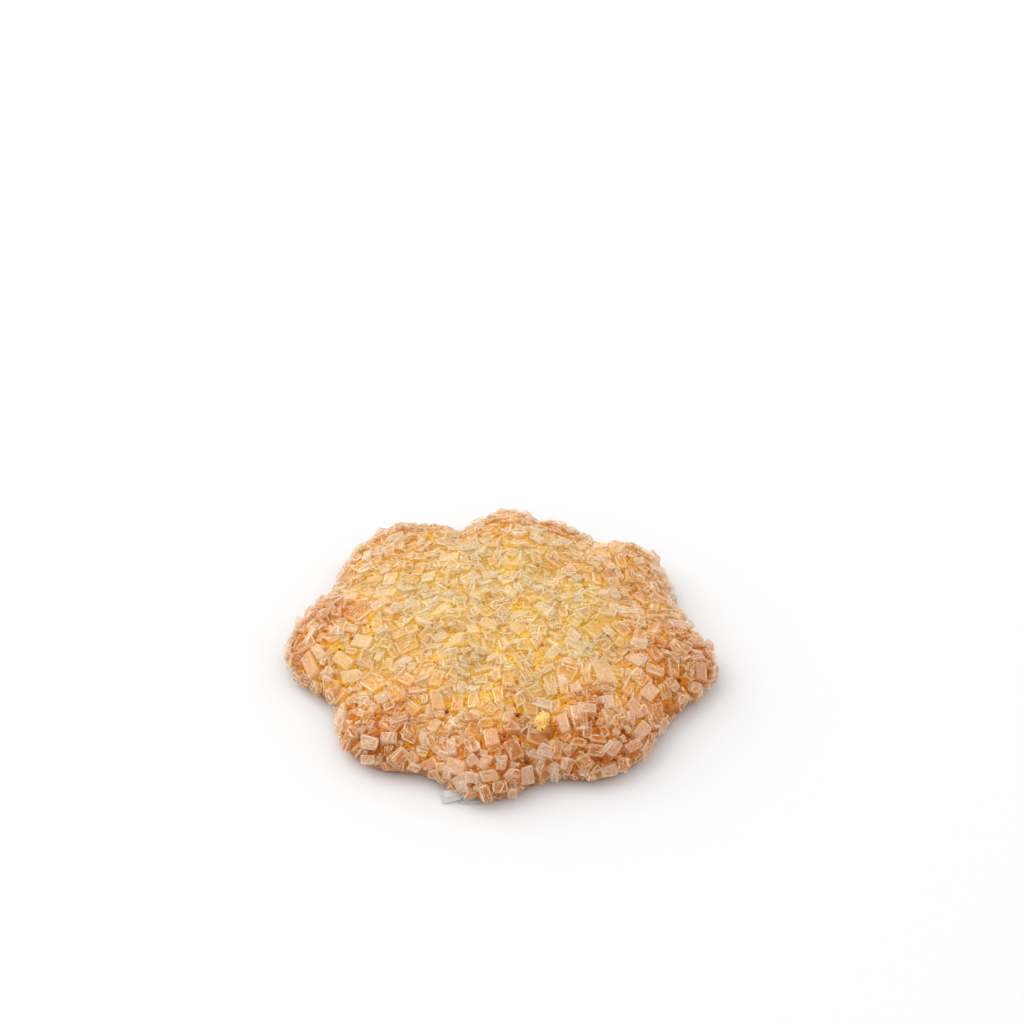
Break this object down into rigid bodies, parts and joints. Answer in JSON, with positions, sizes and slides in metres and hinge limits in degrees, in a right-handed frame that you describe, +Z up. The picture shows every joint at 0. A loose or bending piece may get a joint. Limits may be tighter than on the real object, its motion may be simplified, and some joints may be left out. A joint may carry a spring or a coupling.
{
  "type": "butter cookie",
  "caption": "Lobed butter cookie with a low domed top, a flat underside and a crust of coarse sugar crystals.",
  "frame": {"origin": "under the middle of the cookie, on the plane that its flat underside rests on", "axes": "+Z up through the domed top, +X to the right and -Y towards the front lobe as seen from the front"},
  "size_m": [0.0659, 0.0674, 0.0111],
  "materials": {
    "crust": "baked golden dough, pale in the middle and browned at the rim",
    "sugar": "translucent coarse sugar crystals with glossy faces"
  },
  "bodies": {
    "root": {"cookie": "crust"}
  },
  "joints": []
}
